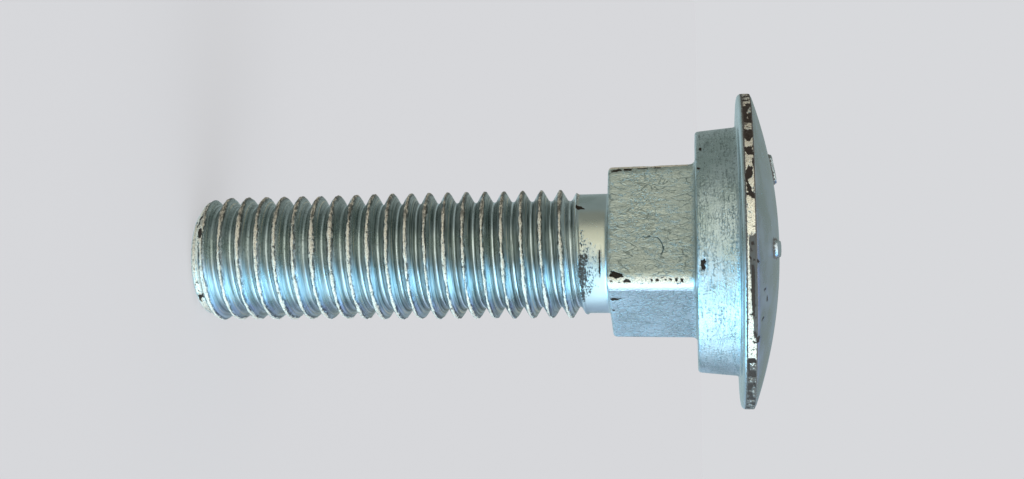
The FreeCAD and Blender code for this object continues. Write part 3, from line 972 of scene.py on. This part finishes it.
class BOLT_OT_make_bolt(bpy.types.Operator):
    """Make the whole bolt as one closed piece: the thread from nodes, the rest from rings"""

    bl_idname = "bolt.make_bolt"
    bl_label = "Make the bolt"

    def execute(self, context):
        scene = context.scene
        thread, shank, head = scene.bolt_thread, scene.bolt_shank, scene.bolt_head
        material = zinc_material(scene.bolt_finish)
        tree, inputs = thread_tree(material)
        values = {inputs[name]: getattr(thread, name) for name in SIZE_INPUTS + COUNT_INPUTS}
        values[inputs["shank_radius"]] = shank.shank_radius
        values[inputs["columns"]] = THREAD_COLUMNS
        threaded = grown_mesh("threaded_stretch", tree, values)

        seam = ring_points(shank.shank_radius, thread.top_height, THREAD_COLUMNS)
        rings = [seam, *head_rings(thread, shank, head)]
        upper = ring_mesh("upper", rings, (0.0, 0.0, head.dome_top))
        radii = [thread.end_radius - inset * MM for inset in END_INSETS]
        end_rings = [ring_points(radius, 0.0, THREAD_COLUMNS) for radius in radii]
        end = ring_mesh("end", end_rings, (0.0, 0.0, 0.0))
        mesh = welded("bolt_finish", [threaded, upper, end])
        wear_surface(mesh, thread, head)
        mesh.materials.clear()
        mesh.materials.append(material)
        piece = bpy.data.objects.new("bolt_finish", mesh)
        context.collection.objects.link(piece)
        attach(piece, "root")
        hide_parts("bolt")
        return {"FINISHED"}


# Where the photo's camera stands beside the bolt and how it is turned, found from the photo's outlines.
CAMERA_ACROSS = -3.50 * MM
CAMERA_AWAY = 136.95 * MM
CAMERA_ALONG = 46.85 * MM
CAMERA_TURN = math.radians(-10.108)
CAMERA_TIP = math.radians(-2.071)
CAMERA_ROLL = math.radians(0.575)
FOCAL_PIXELS = 1489.3
IMAGE_WIDTH = 1024
CENTRE_COLUMN = 437.0
SENSOR = 36.0


def place_camera():
    """The photo's camera, on its side in front of the bolt, so that the head is to the right."""
    turn = Matrix.Rotation(CAMERA_TURN, 3, "Y")
    tip = Matrix.Rotation(CAMERA_TIP, 3, "X")
    roll = Matrix.Rotation(CAMERA_ROLL, 3, "Z")
    view = roll @ tip @ turn
    standing = Matrix(((0, -1, 0), (0, 0, -1), (1, 0, 0)))
    camera_data = bpy.data.cameras.new("photo_camera")
    camera_data.sensor_width = SENSOR
    camera_data.lens = FOCAL_PIXELS * SENSOR / IMAGE_WIDTH
    camera_data.shift_x = (IMAGE_WIDTH / 2 - CENTRE_COLUMN) / IMAGE_WIDTH
    camera_data.clip_start = 5 * MM
    camera = bpy.data.objects.new("photo_camera", camera_data)
    axes = standing @ view.transposed()
    place = standing @ Vector((CAMERA_ALONG, CAMERA_ACROSS, CAMERA_AWAY))
    camera.matrix_world = Matrix.Translation(place) @ axes.to_4x4()
    bpy.context.collection.objects.link(camera)
    bpy.context.scene.camera = camera


# Soft panels of light: azimuth from the front towards +X, elevation, where each begins and ends to
# fade as an angle from its middle, and its colour.
PANELS = (
    (66.0, 0.0, 8.0, 54.0, (1.18, 1.62, 1.85)),
    (-22.0, 2.0, 5.0, 42.0, (0.85, 0.87, 0.72)),
    (12.0, 0.0, 4.0, 40.0, (0.50, 0.54, 0.52)),
    (128.0, 0.0, 8.0, 42.0, (0.14, 0.22, 0.42)),
    (66.0, -40.0, 8.0, 37.0, (1.25, 3.45, 5.70)),
    (78.0, 54.0, 6.0, 32.0, (1.05, 2.95, 4.90)),
    (142.0, 56.0, 5.0, 34.0, (0.08, 0.10, 0.60)),
    (180.0, -50.0, 5.0, 60.0, (0.30, 0.42, 0.50)),
)
AMBIENT = (0.31, 0.37, 0.355)
BACKDROP = (0.686, 0.694, 0.716)
# The floor: its own colour, the share of its brightness that shines through it, its height just
# under the bolt, and its rings in metres.
TABLE = (0.602, 0.580, 0.585)
TABLE_GLOW = 0.75
FLOOR_HEIGHT = -0.02 * MM
FLOOR_RINGS = (20.0, 2.0, 0.3, 0.06)
FLOOR_SIDES = 48


def studio_world():
    """Soft tinted panels round the bolt, which light matt surfaces untinted, and a plain backdrop."""
    world = bpy.data.worlds.new("studio")
    world.use_nodes = True
    tree = world.node_tree
    b = NodeBuilder(tree)
    direction = b.node("ShaderNodeTexCoord").outputs["Generated"]
    light = AMBIENT
    for azimuth, elevation, inner, outer, rgb in PANELS:
        a, e = math.radians(azimuth), math.radians(elevation)
        axis = (math.sin(a) * math.cos(e), -math.cos(a) * math.cos(e), math.sin(e))
        towards = b.node("ShaderNodeVectorMath", {0: direction, 1: axis}, operation="DOT_PRODUCT")
        edges = [math.cos(math.radians(angle)) for angle in (outer, inner)]
        share = b.smooth(towards.outputs["Value"], *edges)
        light = mix_colour(b, share, light, rgb, "ADD")
    rays = b.node("ShaderNodeLightPath").outputs
    neutral = b.node("ShaderNodeRGBToBW", {0: light}).outputs[0]
    light = mix_colour(b, rays["Is Diffuse Ray"], light, neutral)
    shown = mix_colour(b, rays["Is Camera Ray"], light, BACKDROP)
    tree.links.new(shown, tree.nodes["Background"].inputs[0])
    return world


def overhead_light(power, spread):
    """A broad soft light straight above."""
    data = bpy.data.lights.new("overhead", "SUN")
    data.energy = power
    data.angle = math.radians(spread)
    light = bpy.data.objects.new("overhead", data)
    bpy.context.collection.objects.link(light)


class BOLT_OT_set_stage(bpy.types.Operator):
    """Set the studio: a pale floor that glows evenly, soft light and the photo's camera"""

    bl_idname = "bolt.set_stage"
    bl_label = "Set the stage"

    def execute(self, context):
        rings = [ring_points(radius, FLOOR_HEIGHT, FLOOR_SIDES) for radius in FLOOR_RINGS]
        mesh = ring_mesh("floor", rings, (0.0, 0.0, FLOOR_HEIGHT))
        albedo = [share * (1 - TABLE_GLOW) for share in TABLE]
        glow = [share * TABLE_GLOW for share in BACKDROP]
        mesh.materials.append(lit_table_material("pale_floor", albedo, glow))
        floor = bpy.data.objects.new("floor", mesh)
        floor.visible_glossy = False
        floor.visible_shadow = False
        context.collection.objects.link(floor)
        overhead_light(power=0.9, spread=50.0)
        context.scene.world = studio_world()
        context.scene.view_settings.view_transform = "Standard"
        place_camera()
        return {"FINISHED"}


class BOLT_PT_panel(bpy.types.Panel):
    """Lists the bolt's sizes and its two steps in the sidebar"""

    bl_label = "Square-neck bolt"
    bl_idname = "BOLT_PT_panel"
    bl_space_type = "VIEW_3D"
    bl_region_type = "UI"
    bl_category = "Bolt"

    def draw(self, context):
        for group in GROUPS:
            sizes = getattr(context.scene, group)
            box = self.layout.box()
            for name in type(sizes).__annotations__:
                box.prop(sizes, name)
        self.layout.operator("bolt.make_bolt")
        self.layout.operator("bolt.set_stage")


GROUPS = {
    "bolt_thread": ThreadSizes,
    "bolt_shank": ShankSizes,
    "bolt_head": HeadSizes,
    "bolt_finish": Finish,
}
CLASSES = (*GROUPS.values(), BOLT_OT_make_bolt, BOLT_OT_set_stage, BOLT_PT_panel)


def register():
    for cls in CLASSES:
        bpy.utils.register_class(cls)
    for name, cls in GROUPS.items():
        setattr(bpy.types.Scene, name, PointerProperty(type=cls))


def unregister():
    for name in GROUPS:
        delattr(bpy.types.Scene, name)
    for cls in reversed(CLASSES):
        bpy.utils.unregister_class(cls)


def main():
    register()
    bpy.ops.bolt.make_bolt()
    bpy.ops.bolt.set_stage()


if __name__ == "__main__":
    main()
